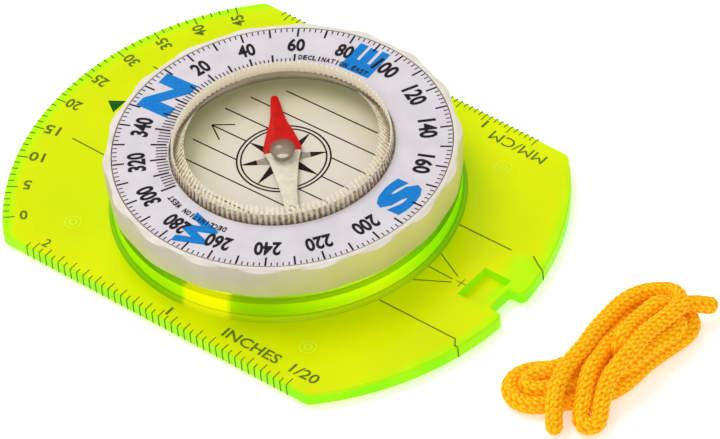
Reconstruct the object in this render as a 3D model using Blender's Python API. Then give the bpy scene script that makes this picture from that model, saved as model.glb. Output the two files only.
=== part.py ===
"""A baseplate compass with a turning bezel, a declination capsule and a hank of lanyard cord.

Metres, +Z up. +Y is the direction of travel, +X is the edge with the metric rule.
The origin is the middle of the compass's footprint, on the surface that its feet stand on.
"""

from math import acos, asin, atan2, cos, degrees, pi, radians, sin, sqrt

import bmesh
import bpy
from mathutils import Vector

MM = 0.001

# Driving dimensions, all in millimetres.
PLATE_HALF_WIDTH = 31.65
FRONT_RADIUS = 44.3             # front edge, an arc about the dial's axis
REAR_RADIUS = 43.6              # rear edge, an arc about the dial's axis
PLATE_THICKNESS = 2.3
PLATE_CORNER = 2.0
PLATE_EDGE_ROUND = 0.25
FOOT_HEIGHT = 0.4               # how far the feet stand out of the underside
FOOT_RADIUS = 1.25
FOOT_SPACING = 23.6             # each way from the dial's axis
FOOT_SOCKET_DEPTH = 0.8
GAP = 0.3                       # clearance between pieces that touch or turn

NOTCH_LEFT, NOTCH_RIGHT = -1.3, 3.5
NOTCH_INNER_Y = -40.9
NOTCH_LOBE = 1.0                # rounding where the notch meets the rear edge
NOTCH_FILLET = 0.6
RECESS_LEFT, RECESS_RIGHT = -1.8, 5.0
RECESS_FRONT_Y, RECESS_REAR_Y = -35.0, -40.0
RECESS_DEPTH = 1.7

COLLAR_RADIUS = 27.1
COLLAR_FOOT_RADIUS = 27.4       # the collar's thicker foot
COLLAR_FOOT_HEIGHT = 0.9
COLLAR_FILLET = 0.25            # blend between the foot and the plate
COLLAR_ROOT = 0.7               # how deep the collar's foot is sunk in the plate
COLLAR_HEIGHT = 3.3
BORE_RADIUS = 25.0
UPSTAND_THICKNESS = 0.9
SNAP_GROOVE_DEPTH = 0.5
SNAP_GROOVE_HEIGHT = 1.4
SPIGOT_THICKNESS = 1.1

FACE_HEIGHT = 10.6              # dial face above the plate's top
BEZEL_RADIUS = 27.4
BEZEL_FACE_RADIUS = 26.9
BEZEL_LOBES = 18
BEZEL_LOBE_HEIGHT = 0.33
BEZEL_SKIRT_HEIGHT = 5.1        # bottom of the skirt above the plate's top
BEZEL_SEAT_DEPTH = 0.8          # the dial's seat below the face
BEZEL_WEB = 0.8                 # thickness of the web under the seat
DIAL_OUTER, DIAL_INNER = 26.2, 17.5
DIAL_CARD_THICKNESS = 0.45
DIAL_CARD_SINK = 0.05           # the card's top below the bezel's lip
CAPSULE_BORE = 19.5
BORE_WALL = 0.9

LENS_RISE = 1.9                 # lens top above the dial face
LENS_BASE_RADIUS, LENS_TOP_RADIUS = 17.2, 17.0
LENS_FLANGE_RADIUS = 18.9
LENS_THICKNESS = 1.0
FLANGE_DEPTH, FLANGE_THICKNESS = 0.7, 0.5
CUP_INNER, CUP_OUTER = 18.2, 19.2
CUP_RIM_DEPTH = 2.0             # the cup's rim below the dial face
CUP_FLOOR_THICKNESS = 0.9
GASKET_THICKNESS = 0.3
CHAMBER_DEPTH = 2.85            # printed floor below the dial face
FLOOR_CARD_THICKNESS = 0.2
NEEDLE_REACH = 13.4
NEEDLE_BEARING = 44.0           # where the red end points, clockwise from +Y
NEEDLE_DEPTH = 2.2              # underside of the needle below the dial face
NEEDLE_THICKNESS = 0.25
HUB_RADIUS = 2.1
JEWEL_RADIUS = 0.85
PIN_RADIUS = 0.35
SEAT_RADIUS = 1.3
SEAT_RISE = 0.4                 # the seat's top above the printed floor
PLUG_DISTANCE = 12.0            # filler plug from the capsule's axis
PLUG_RADIUS = 1.0

# The hank lies behind the plate: the middles and radii of its two round ends.
HANK_BLUNT_END, HANK_BLUNT_RADIUS = (-9.5, -60.5), 7.8
HANK_SLIM_END, HANK_SLIM_RADIUS = (14.0, -64.5), 5.2
HANK_HEIGHT = 8.0

# Levels, in millimetres above the surface that the feet stand on.
PLATE_BOTTOM = FOOT_HEIGHT
PLATE_TOP = PLATE_BOTTOM + PLATE_THICKNESS
COLLAR_RIM = PLATE_TOP + COLLAR_HEIGHT
FACE = PLATE_TOP + FACE_HEIGHT
UPSTAND_TOP = FACE - 2.6
SKIRT_BOTTOM = PLATE_TOP + BEZEL_SKIRT_HEIGHT
DIAL_Y = -(FRONT_RADIUS - REAR_RADIUS) / 2      # the dial's axis, from the footprint's middle

# The snap ring's groove, cut half in the collar's bore and half in the bezel's spigot.
SNAP_GROOVE_BOTTOM = PLATE_TOP + 1.2
SNAP_GROOVE_TOP = SNAP_GROOVE_BOTTOM + SNAP_GROOVE_HEIGHT
SPIGOT_RADIUS = BORE_RADIUS - GAP
SPIGOT_GROOVE_RADIUS = SPIGOT_RADIUS - 0.6
SPIGOT_BOTTOM = PLATE_TOP + 0.4

# The capsule's skirt and the groove that holds its friction ring.
CUP_BOTTOM = PLATE_TOP + 0.5
FRICTION_GROOVE_BOTTOM = PLATE_TOP + 3.3
FRICTION_GROOVE_TOP = FRICTION_GROOVE_BOTTOM + 1.2
FRICTION_GROOVE_DEPTH = 0.55
FRICTION_RING_WIDTH = 0.4
RING_SLACK = 0.25               # play of the friction ring in its groove

# The chamber, from its printed floor down.
CHAMBER_FLOOR = FACE - CHAMBER_DEPTH
CUP_FLOOR_TOP = CHAMBER_FLOOR - FLOOR_CARD_THICKNESS - RING_SLACK
CUP_FLOOR_BOTTOM = CUP_FLOOR_TOP - CUP_FLOOR_THICKNESS

ROUND_STEPS = 72
SMALL_STEPS = 24
SMOOTH_ANGLE = radians(35)


def clear_scene():
    for old in list(bpy.data.objects):
        bpy.data.objects.remove(old, do_unlink=True)


def plastic(name, colour, roughness=0.35, metallic=0.0):
    """A plain Principled material in the piece's colour."""
    material = bpy.data.materials.new(name)
    material.use_nodes = True
    shader = material.node_tree.nodes["Principled BSDF"]
    shader.inputs["Base Color"].default_value = (*colour, 1.0)
    shader.inputs["Roughness"].default_value = roughness
    shader.inputs["Metallic"].default_value = metallic
    return material


def add_object(name, build, material, parent=None, smooth=True):
    """Turns a bmesh in millimetres into a named object in metres."""
    bmesh.ops.scale(build, vec=Vector((MM, MM, MM)), verts=build.verts)
    bmesh.ops.recalc_face_normals(build, faces=build.faces)
    mesh = bpy.data.meshes.new(name)
    build.to_mesh(mesh)
    build.free()
    if smooth:
        mesh.shade_smooth()
        mesh.set_sharp_from_angle(angle=SMOOTH_ANGLE)
    piece = bpy.data.objects.new(name, mesh)
    bpy.context.collection.objects.link(piece)
    if material is not None:
        mesh.materials.append(material)
    piece.parent = parent
    return piece


def add_axis(name, parent=None):
    """An empty on the dial's axis, which every turning piece hangs from."""
    axis = bpy.data.objects.new(name, None)
    bpy.context.collection.objects.link(axis)
    axis.parent = parent
    if parent is None:
        axis.location = (0.0, DIAL_Y * MM, 0.0)
    return axis


def make_cutter(piece):
    piece.hide_render = True
    piece.display_type = "WIRE"
    return piece


def boolean(piece, cutter, operation="DIFFERENCE"):
    step = piece.modifiers.new(cutter.name, "BOOLEAN")
    step.operation = operation
    step.solver = "EXACT"
    step.object = make_cutter(cutter)


def arc(centre_x, centre_y, radius, start, end, steps):
    """Points along an arc from one angle to another, both ends included, angles in degrees."""
    angles = [radians(start + (end - start) * i / steps) for i in range(steps + 1)]
    return [(centre_x + radius * cos(a), centre_y + radius * sin(a)) for a in angles]


def prism(outline, bottom, top):
    """A solid between two levels with the outline as its plan."""
    build = bmesh.new()
    face = build.faces.new([build.verts.new((x, y, bottom)) for x, y in outline])
    raised = bmesh.ops.extrude_face_region(build, geom=[face])
    moved = [v for v in raised["geom"] if isinstance(v, bmesh.types.BMVert)]
    bmesh.ops.translate(build, vec=(0.0, 0.0, top - bottom), verts=moved)
    return build


def turned(profile, steps=ROUND_STEPS, radius_at=None, centre=(0.0, 0.0)):
    """A closed profile of (radius, height) points turned about Z.

    A point with radius 0 makes one vertex on the axis. radius_at may vary the radius with the
    bearing, as the bezel's grip does.
    """
    build = bmesh.new()
    columns = []
    for radius, height in profile:
        if radius == 0:
            columns.append([build.verts.new((centre[0], centre[1], height))] * steps)
            continue
        ring = []
        for i in range(steps):
            angle = 2 * pi * i / steps
            r = radius_at(radius, angle) if radius_at else radius
            ring.append(build.verts.new((centre[0] + r * cos(angle), centre[1] + r * sin(angle), height)))
        columns.append(ring)
    for k, lower in enumerate(columns):
        upper = columns[(k + 1) % len(columns)]
        for i in range(steps):
            j = (i + 1) % steps
            corners = []
            for vert in (lower[i], lower[j], upper[j], upper[i]):
                if vert not in corners:
                    corners.append(vert)
            if len(corners) > 2:
                build.faces.new(corners)
    return build


def split_ring(inner, outer, bottom, top, opening, steps):
    """A square-section ring with a gap of so many degrees at the rear."""
    start = -90 + opening / 2
    end = 270 - opening / 2
    outline = arc(0, 0, outer, start, end, steps) + arc(0, 0, inner, end, start, steps)
    return prism(outline, bottom, top)


def blended_corner(side_x, edge_radius, rounding, towards):
    """Centre of a rounding between a side along Y at side_x and an arc about the dial's axis."""
    centre_x = side_x + towards * rounding
    centre_y = sqrt((edge_radius - rounding) ** 2 - centre_x ** 2)
    return centre_x, centre_y


def plate_outline():
    """The plate from above, anticlockwise from the rear right corner."""
    front_x, front_y = blended_corner(PLATE_HALF_WIDTH, FRONT_RADIUS, PLATE_CORNER, -1)
    rear_x, rear_y = blended_corner(PLATE_HALF_WIDTH, REAR_RADIUS, PLATE_CORNER, -1)
    front = degrees(atan2(front_y, front_x))
    rear = degrees(atan2(rear_y, rear_x))
    left_x, left_y = blended_corner(NOTCH_LEFT, REAR_RADIUS, NOTCH_LOBE, -1)
    right_x, right_y = blended_corner(NOTCH_RIGHT, REAR_RADIUS, NOTCH_LOBE, 1)
    left_lobe = 180 + degrees(atan2(left_y, -left_x))
    right_lobe = 360 - degrees(atan2(right_y, right_x))
    fillet_y = NOTCH_INNER_Y - NOTCH_FILLET

    points = arc(rear_x, -rear_y, PLATE_CORNER, -rear, 0, 5)
    points += arc(front_x, front_y, PLATE_CORNER, 0, front, 5)
    points += arc(0, 0, FRONT_RADIUS, front, 180 - front, 30)[1:-1]
    points += arc(-front_x, front_y, PLATE_CORNER, 180 - front, 180, 5)
    points += arc(-rear_x, -rear_y, PLATE_CORNER, 180, 180 + rear, 5)
    points += arc(0, 0, REAR_RADIUS, 180 + rear, left_lobe, 14)[1:-1]
    points += arc(left_x, -left_y, NOTCH_LOBE, left_lobe, 360, 4)
    points += arc(NOTCH_LEFT + NOTCH_FILLET, fillet_y, NOTCH_FILLET, 180, 90, 3)
    points += arc(NOTCH_RIGHT - NOTCH_FILLET, fillet_y, NOTCH_FILLET, 90, 0, 3)
    points += arc(right_x, -right_y, NOTCH_LOBE, 180, right_lobe, 4)
    points += arc(0, 0, REAR_RADIUS, right_lobe, 360 - rear, 14)[1:-1]
    return points


def collar_profile():
    """The collar that the bezel turns on, from inside the plate up to the dust upstand."""
    root = PLATE_TOP - COLLAR_ROOT
    foot_top = PLATE_TOP + COLLAR_FOOT_HEIGHT
    blended = COLLAR_FOOT_RADIUS + COLLAR_FILLET
    upstand = BORE_RADIUS + UPSTAND_THICKNESS
    groove = BORE_RADIUS + SNAP_GROOVE_DEPTH
    return [
        (BORE_RADIUS, root), (blended, root),
        (blended, PLATE_TOP), (COLLAR_FOOT_RADIUS, PLATE_TOP + COLLAR_FILLET),
        (COLLAR_FOOT_RADIUS, foot_top), (COLLAR_RADIUS, foot_top),
        (COLLAR_RADIUS, COLLAR_RIM), (upstand, COLLAR_RIM),
        (upstand, UPSTAND_TOP), (BORE_RADIUS, UPSTAND_TOP),
        (BORE_RADIUS, SNAP_GROOVE_TOP), (groove, SNAP_GROOVE_TOP),
        (groove, SNAP_GROOVE_BOTTOM), (BORE_RADIUS, SNAP_GROOVE_BOTTOM),
    ]


def baseplate(axis):
    lime = plastic("lime_acrylic", (0.62, 0.86, 0.0), 0.08)
    plate = add_object("baseplate", prism(plate_outline(), PLATE_BOTTOM, PLATE_TOP), lime, axis)
    rounding = plate.modifiers.new("edge_rounding", "BEVEL")
    rounding.width = PLATE_EDGE_ROUND * MM
    rounding.segments = 1
    rounding.limit_method = "ANGLE"
    rounding.angle_limit = radians(60)
    collar = add_object("collar", turned(collar_profile()), lime, axis)
    boolean(plate, collar, "UNION")
    recess_outline = [
        (RECESS_LEFT, RECESS_REAR_Y), (RECESS_RIGHT, RECESS_REAR_Y),
        (RECESS_RIGHT, RECESS_FRONT_Y), (RECESS_LEFT, RECESS_FRONT_Y),
    ]
    recess = prism(recess_outline, PLATE_TOP - RECESS_DEPTH, PLATE_TOP + 1.0)
    boolean(plate, add_object("recess", recess, lime, axis, smooth=False))
    for number, x, y in foot_places():
        socket_radius = FOOT_RADIUS + GAP
        socket_profile = [
            (0, PLATE_BOTTOM - 1.0), (socket_radius, PLATE_BOTTOM - 1.0),
            (socket_radius, PLATE_BOTTOM + FOOT_SOCKET_DEPTH), (0, PLATE_BOTTOM + FOOT_SOCKET_DEPTH),
        ]
        socket = turned(socket_profile, SMALL_STEPS, centre=(x, y))
        boolean(plate, add_object(f"foot_socket_{number}", socket, lime, axis))


def foot_places():
    """Number and place of each foot, from the rear left round to the rear right."""
    signs = [(-1, -1), (-1, 1), (1, 1), (1, -1)]
    return [(n, sx * FOOT_SPACING, sy * FOOT_SPACING) for n, (sx, sy) in enumerate(signs, 1)]


def feet(axis):
    """Four clear pads, each in a socket of the underside."""
    clear = plastic("foot_vinyl", (0.75, 0.9, 0.3), 0.3)
    top = PLATE_BOTTOM + FOOT_SOCKET_DEPTH - GAP
    for number, x, y in foot_places():
        profile = [(0, 0), (FOOT_RADIUS - 0.2, 0), (FOOT_RADIUS, 0.2), (FOOT_RADIUS, top), (0, top)]
        add_object(f"foot_{number}", turned(profile, SMALL_STEPS, centre=(x, y)), clear, axis)


def retaining_ring(axis):
    """The split wire ring that keeps the bezel down on its collar."""
    steel = plastic("spring_steel", (0.55, 0.55, 0.56), 0.3, 1.0)
    inner = SPIGOT_GROOVE_RADIUS + GAP
    outer = BORE_RADIUS + SNAP_GROOVE_DEPTH - GAP
    ring = split_ring(inner, outer, SNAP_GROOVE_BOTTOM + GAP, SNAP_GROOVE_TOP - GAP, 16, 60)
    add_object("retaining_ring", ring, steel, axis)


def bezel_profile():
    """The bezel: outer skirt, dial seat, spigot down in the collar, and the capsule's bore."""
    seat = FACE - BEZEL_SEAT_DEPTH
    under = seat - BEZEL_WEB
    skirt_inner = BORE_RADIUS + UPSTAND_THICKNESS + GAP
    spigot_inner = SPIGOT_RADIUS - SPIGOT_THICKNESS
    bore_wall = CAPSULE_BORE + BORE_WALL
    bore_bottom = PLATE_TOP + 2.3
    lip = DIAL_OUTER + 0.2
    return [
        (lip, FACE), (BEZEL_FACE_RADIUS, FACE), (BEZEL_RADIUS - 0.1, FACE - 0.35),
        (BEZEL_RADIUS, seat), (BEZEL_RADIUS, SKIRT_BOTTOM), (skirt_inner, SKIRT_BOTTOM),
        (skirt_inner, under), (SPIGOT_RADIUS, under),
        (SPIGOT_RADIUS, SNAP_GROOVE_TOP), (SPIGOT_GROOVE_RADIUS, SNAP_GROOVE_TOP),
        (SPIGOT_GROOVE_RADIUS, SNAP_GROOVE_BOTTOM), (SPIGOT_RADIUS, SNAP_GROOVE_BOTTOM),
        (SPIGOT_RADIUS, SPIGOT_BOTTOM), (spigot_inner, SPIGOT_BOTTOM),
        (spigot_inner, under), (bore_wall, under),
        (bore_wall, bore_bottom), (CAPSULE_BORE, bore_bottom),
        (CAPSULE_BORE, seat), (lip, seat),
    ]


def grip_radius(radius, angle):
    """Shallow finger lobes on the outside of the bezel, and plain rounds inside it."""
    if radius < BEZEL_RADIUS - 0.15:
        return radius
    return radius + BEZEL_LOBE_HEIGHT * cos(BEZEL_LOBES * angle + radians(135))


def bezel_ring(axis):
    white = plastic("bezel_white", (0.8, 0.78, 0.74), 0.4)
    ring = turned(bezel_profile(), BEZEL_LOBES * 5, radius_at=grip_radius)
    add_object("bezel_ring", ring, white, axis)


def washer(inner, outer, bottom, top, steps=ROUND_STEPS):
    return turned([(inner, bottom), (outer, bottom), (outer, top), (inner, top)], steps)


def dial_card(axis):
    white = plastic("dial_card_white", (0.85, 0.82, 0.88), 0.45)
    top = FACE - DIAL_CARD_SINK
    card = washer(DIAL_INNER, DIAL_OUTER, top - DIAL_CARD_THICKNESS, top)
    add_object("dial_card", card, white, axis)


def capsule_lens(axis):
    """The clear lid: a raised disc, a short neck that the fingers turn, and a sealing flange."""
    clear = plastic("clear_acrylic", (0.9, 0.9, 0.88), 0.05)
    top = FACE + LENS_RISE
    flange_top = FACE - FLANGE_DEPTH
    flange_bottom = flange_top - FLANGE_THICKNESS
    profile = [
        (0, top), (0, top - LENS_THICKNESS), (LENS_TOP_RADIUS - 1.4, top - LENS_THICKNESS),
        (LENS_BASE_RADIUS - 1.0, flange_bottom), (LENS_FLANGE_RADIUS, flange_bottom),
        (LENS_FLANGE_RADIUS, flange_top), (LENS_BASE_RADIUS, flange_top),
        (LENS_TOP_RADIUS, top - 0.3), (LENS_TOP_RADIUS - 0.4, top),
    ]
    add_object("capsule_lens", turned(profile), clear, axis)


def capsule_cup(axis):
    """The capsule's body: a floor inside a straight wall, with a groove for its friction ring."""
    smoke = plastic("capsule_plastic", (0.75, 0.7, 0.6), 0.2)
    rim = FACE - CUP_RIM_DEPTH
    groove = CUP_OUTER - FRICTION_GROOVE_DEPTH
    profile = [
        (0, CUP_FLOOR_TOP), (0, CUP_FLOOR_BOTTOM), (CUP_INNER, CUP_FLOOR_BOTTOM),
        (CUP_INNER, CUP_BOTTOM), (CUP_OUTER, CUP_BOTTOM),
        (CUP_OUTER, FRICTION_GROOVE_BOTTOM), (groove, FRICTION_GROOVE_BOTTOM),
        (groove, FRICTION_GROOVE_TOP), (CUP_OUTER, FRICTION_GROOVE_TOP),
        (CUP_OUTER, rim), (CUP_INNER, rim), (CUP_INNER, CUP_FLOOR_TOP),
    ]
    cup = add_object("capsule_cup", turned(profile), smoke, axis)
    hole_radius = PLUG_RADIUS + GAP
    below, above = CUP_FLOOR_BOTTOM - 1.0, CUP_FLOOR_TOP + 1.0
    hole = [(0, below), (hole_radius, below), (hole_radius, above), (0, above)]
    hole_build = turned(hole, SMALL_STEPS, centre=(0.0, -PLUG_DISTANCE))
    boolean(cup, add_object("filler_hole", hole_build, smoke, axis))
    bottom, top = CUP_FLOOR_BOTTOM - 0.2, CUP_FLOOR_TOP - 0.1
    plug = [(0, bottom), (PLUG_RADIUS, bottom), (PLUG_RADIUS, top), (0, top)]
    grey = plastic("plug_nylon", (0.6, 0.6, 0.58), 0.5)
    add_object("filler_plug", turned(plug, SMALL_STEPS, centre=(0.0, -PLUG_DISTANCE)), grey, axis)


def capsule_seals(axis):
    """The gasket under the lens and the ring that holds the set declination."""
    rubber = plastic("seal_rubber", (0.16, 0.12, 0.1), 0.7)
    inset = 0.2
    bottom = FACE - CUP_RIM_DEPTH + RING_SLACK
    gasket = washer(CUP_INNER + inset, CUP_OUTER - inset, bottom, bottom + GASKET_THICKNESS, 60)
    add_object("capsule_gasket", gasket, rubber, axis)
    outer = CAPSULE_BORE - inset
    bottom, top = FRICTION_GROOVE_BOTTOM + RING_SLACK, FRICTION_GROOVE_TOP - RING_SLACK
    ring = split_ring(outer - FRICTION_RING_WIDTH, outer, bottom, top, 14, 48)
    add_object("capsule_friction_ring", ring, rubber, axis)


def floor_card(axis):
    """The printed disc at the bottom of the chamber."""
    cream = plastic("floor_card_cream", (0.8, 0.74, 0.6), 0.5)
    bottom = CHAMBER_FLOOR - FLOOR_CARD_THICKNESS
    card = washer(SEAT_RADIUS + GAP, CUP_INNER - GAP, bottom, CHAMBER_FLOOR, 60)
    add_object("floor_card", card, cream, axis)


def pivot(axis):
    """The needle's pointed pin and the tube that holds it upright on the chamber's floor."""
    bottom = CHAMBER_FLOOR - FLOOR_CARD_THICKNESS
    seat = washer(PIN_RADIUS + GAP, SEAT_RADIUS, bottom, CHAMBER_FLOOR + SEAT_RISE, SMALL_STEPS)
    add_object("pivot_seat", seat, plastic("seat_nylon", (0.7, 0.66, 0.58), 0.4), axis)
    bottom += 0.05
    tip = FACE - 1.05
    pin = [(0, bottom), (PIN_RADIUS, bottom), (PIN_RADIUS, tip - 0.5), (0, tip)]
    add_object("pivot_pin", turned(pin, 16), plastic("pin_steel", (0.6, 0.6, 0.6), 0.2, 1.0), axis)


def needle_outline():
    """The needle along +Y: a barbed arrow to the north and a plain tapered tail to the south."""
    nose = 0.7
    nose_centre = NEEDLE_REACH - nose
    right = [(1.0, -12.5), (2.9, -1.5), (3.0, 0.5), (2.9, 2.5), (2.0, 5.6)]
    tip = arc(0, nose_centre, nose, 10, 170, 4)
    tail = arc(0, -12.5, 1.0, 200, 340, 4)
    left = [(-x, y) for x, y in reversed(right)]
    return right + tip + left + tail


def needle(axis):
    """A magnetised steel blade, red to the north and cream to the south, and its hub and jewel."""
    bottom = FACE - NEEDLE_DEPTH
    top = bottom + NEEDLE_THICKNESS
    red = plastic("needle_red", (0.75, 0.03, 0.01), 0.35)
    blade = add_object("needle_blade", prism(needle_outline(), bottom, top), red, axis, smooth=False)
    eye_radius = JEWEL_RADIUS + GAP
    eye = [(0, bottom - 1), (eye_radius, bottom - 1), (eye_radius, top + 1), (0, top + 1)]
    boolean(blade, add_object("blade_eye", turned(eye, SMALL_STEPS), red, axis))

    hub_bottom = top + 0.2
    hub_top = FACE + 0.1
    dome_start = hub_bottom + 0.7
    rise = hub_top - dome_start
    dome_radius = (HUB_RADIUS ** 2 + rise ** 2) / (2 * rise)
    dome = []
    half_angle = acos(1 - rise / dome_radius)
    for i in range(5):
        angle = half_angle * (4 - i) / 4
        radius = dome_radius * sin(angle)
        dome.append((radius if i < 4 else 0, hub_top - dome_radius * (1 - cos(angle))))
    roof = FACE - 0.2
    profile = [(0, roof), (eye_radius, roof), (eye_radius, hub_bottom), (HUB_RADIUS, hub_bottom)] + dome
    grey = plastic("hub_plastic", (0.45, 0.4, 0.36), 0.3)
    add_object("needle_hub", turned(profile, SMALL_STEPS), grey, axis)

    jewel_top = roof - GAP
    jewel_bore = PIN_RADIUS + 0.2
    jewel = [
        (0, jewel_top), (0, jewel_top - 0.3), (jewel_bore, jewel_top - 0.3),
        (jewel_bore, bottom + 0.05), (JEWEL_RADIUS, bottom + 0.05), (JEWEL_RADIUS, jewel_top),
    ]
    brass = plastic("jewel_brass", (0.75, 0.6, 0.25), 0.25, 1.0)
    add_object("jewel_cup", turned(jewel, SMALL_STEPS), brass, axis)
    axis.rotation_euler = (0.0, 0.0, radians(-NEEDLE_BEARING))


def lanyard(axis):
    """The outer shape of the hank on the ground: a tapered outline with round ends."""
    gold = plastic("lanyard_gold", (0.9, 0.45, 0.05), 0.8)
    blunt = Vector(HANK_BLUNT_END)
    along = Vector(HANK_SLIM_END) - blunt
    heading = degrees(atan2(along.y, along.x))
    taper = degrees(asin((HANK_BLUNT_RADIUS - HANK_SLIM_RADIUS) / along.length))
    side = 90 - taper
    outline = arc(*HANK_SLIM_END, HANK_SLIM_RADIUS, heading - side, heading + side, 10)
    outline += arc(*HANK_BLUNT_END, HANK_BLUNT_RADIUS, heading + side, heading + 360 - side, 12)
    add_object("lanyard", prism(outline, 0.0, HANK_HEIGHT), gold, axis)


def main():
    clear_scene()
    plate_axis = add_axis("plate_axis")
    bezel_axis = add_axis("bezel_axis", plate_axis)
    capsule_axis = add_axis("capsule_axis", bezel_axis)
    needle_axis = add_axis("needle_axis", capsule_axis)
    baseplate(plate_axis)
    feet(plate_axis)
    retaining_ring(plate_axis)
    bezel_ring(bezel_axis)
    dial_card(bezel_axis)
    capsule_lens(capsule_axis)
    capsule_cup(capsule_axis)
    capsule_seals(capsule_axis)
    floor_card(capsule_axis)
    pivot(capsule_axis)
    needle(needle_axis)
    lanyard(plate_axis)
    bpy.context.view_layer.update()


main()
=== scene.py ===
"""Looks of the baseplate compass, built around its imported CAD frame.

Drawing is in millimetres about the dial's axis, with heights above the ground; each piece is
turned into metres in the row frame when it is made. Bearings are clockwise from +Y.
"""

from math import atan2, ceil, cos, pi, radians, sin, sqrt

import bmesh
import bpy
import numpy as np
from mathutils import Matrix, Vector


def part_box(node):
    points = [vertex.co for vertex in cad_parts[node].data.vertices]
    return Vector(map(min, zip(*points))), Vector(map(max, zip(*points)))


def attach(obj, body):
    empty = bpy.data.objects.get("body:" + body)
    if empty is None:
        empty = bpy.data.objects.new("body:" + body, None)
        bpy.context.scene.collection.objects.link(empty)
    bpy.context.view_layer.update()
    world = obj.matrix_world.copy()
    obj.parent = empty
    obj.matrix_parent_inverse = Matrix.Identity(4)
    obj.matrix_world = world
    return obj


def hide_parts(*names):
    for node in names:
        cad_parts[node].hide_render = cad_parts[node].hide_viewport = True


MM = 0.001

PLATE_THICKNESS = 2.3
LIP_RISE = 0.05                 # the bezel's lip above the dial's card
LID_RISE = 1.9                  # the lid's top above the bezel's lip
SKIRT_HEIGHT = 5.1              # the bezel's lower edge above the plate's top
FRONT_RADIUS, REAR_RADIUS = 44.3, 43.6
COLLAR_RADIUS, COLLAR_FOOT_RADIUS = 27.2, 27.7
INK = 0.03                      # thickness of a printed line
LINE_WIDTH = 0.22               # of the long lines on the plate and the chamber's floor
DIAL_TURN = -4.2                # bearing of the dial's north
CAPSULE_TURN = -2.4             # bearing of the lines on the capsule's floor
NEEDLE_BEARING = 44.0
BEZEL_RADIUS, BEZEL_LOBES, BEZEL_LOBE_HEIGHT = 27.4, 18, 0.33
TEETH, TOOTH_DEPTH = 120, 0.3
BLADE_CROWN = 0.25              # the needle's middle above its underside
CORD_DIAMETER = 2.6
GROUND_GAP = 0.12               # the cord's smooth core above the ground, for its stitches
HANK_START = Vector((-9.5, -55.5))      # the middle of the hank's blunt lobe
HANK_AXIS = Vector((0.9205, -0.3907))   # from the lobe towards the slim end
HANK_ACROSS = Vector((0.3907, 0.9205))
HANK_STATIONS = (-4, 0, 4, 8, 13, 17, 20, 22, 26, 30)   # places along the hank's axis

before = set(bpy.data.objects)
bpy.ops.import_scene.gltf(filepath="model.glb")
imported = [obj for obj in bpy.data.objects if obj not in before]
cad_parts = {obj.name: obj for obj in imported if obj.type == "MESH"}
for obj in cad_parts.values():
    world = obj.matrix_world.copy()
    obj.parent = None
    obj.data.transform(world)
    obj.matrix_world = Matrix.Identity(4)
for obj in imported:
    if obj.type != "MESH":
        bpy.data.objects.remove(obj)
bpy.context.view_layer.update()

# Levels and places read from the frame, in millimetres.
dial_low, dial_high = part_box("dial_card")
plate_low, plate_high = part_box("baseplate")
AXIS_Y = (dial_low.y + dial_high.y) / 2 / MM
PLATE_HALF_WIDTH = plate_high.x / MM
PLATE_BOTTOM = plate_low.z / MM
PLATE_TOP = PLATE_BOTTOM + PLATE_THICKNESS
DIAL_TOP = dial_high.z / MM
FACE = DIAL_TOP + LIP_RISE
FLOOR_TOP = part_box("floor_card")[1].z / MM
BLADE_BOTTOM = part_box("needle_blade")[0].z / MM


# ---------------------------------------------------------------- colours and materials


def tone(red, green, blue):
    """A display colour from 0 to 255 as the linear colour that shaders use."""
    def linear(value):
        share = value / 255
        return share / 12.92 if share <= 0.04045 else ((share + 0.055) / 1.055) ** 2.4
    return (linear(red), linear(green), linear(blue), 1.0)


def principled(name, colour, roughness, specular=0.5, metallic=0.0, coat=0.0):
    material = bpy.data.materials.new(name)
    material.use_nodes = True
    shader = material.node_tree.nodes["Principled BSDF"]
    shader.inputs["Base Color"].default_value = colour
    shader.inputs["Roughness"].default_value = roughness
    shader.inputs["Specular IOR Level"].default_value = specular
    shader.inputs["Metallic"].default_value = metallic
    shader.inputs["Coat Weight"].default_value = coat
    return material, material.node_tree, shader


def plug(tree, socket, value):
    """Links a socket to another node's, or sets it to a plain value."""
    if isinstance(value, bpy.types.NodeSocket):
        tree.links.new(value, socket)
    else:
        socket.default_value = value


def node(tree, kind, inputs=(), **settings):
    made = tree.nodes.new(kind)
    for key, value in settings.items():
        setattr(made, key, value)
    for key, value in dict(inputs).items():
        plug(tree, made.inputs[key], value)
    return made


def row_place(tree):
    """The place of each spot of a piece, in metres in the row frame."""
    return node(tree, "ShaderNodeTexCoord").outputs["Object"]


def noise(tree, scale, detail=2.0, roughness=0.5):
    """Noise over the piece's own coordinates, with scale in cycles per millimetre."""
    inputs = {"Vector": row_place(tree), "Scale": scale / MM, "Detail": detail, "Roughness": roughness}
    return node(tree, "ShaderNodeTexNoise", inputs).outputs["Fac"]


def ramp(tree, value, stops):
    made = node(tree, "ShaderNodeValToRGB", {"Fac": value})
    elements = made.color_ramp.elements
    while len(elements) < len(stops):
        elements.new(0.5)
    for element, (position, colour) in zip(elements, stops):
        element.position = position
        element.color = colour
    return made.outputs["Color"]


def mixed(tree, share, first, second):
    """A colour blended from first to second. The mix node's colours are its sockets 6 and 7."""
    return node(tree, "ShaderNodeMix", {0: share, 6: first, 7: second}, data_type="RGBA").outputs[2]


def maths(tree, operation, first, second=0.0, third=0.0):
    return node(tree, "ShaderNodeMath", {0: first, 1: second, 2: third}, operation=operation).outputs[0]


def times(tree, first, second):
    return maths(tree, "MULTIPLY", first, second)


def opposite(tree, share):
    """What a share leaves of 1."""
    return maths(tree, "SUBTRACT", 1.0, share)


def bumped(tree, shader, height, distance, strength=0.3):
    inputs = {"Height": height, "Distance": distance * MM, "Strength": strength}
    bump = node(tree, "ShaderNodeBump", inputs)
    tree.links.new(bump.outputs["Normal"], shader.inputs["Normal"])


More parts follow.
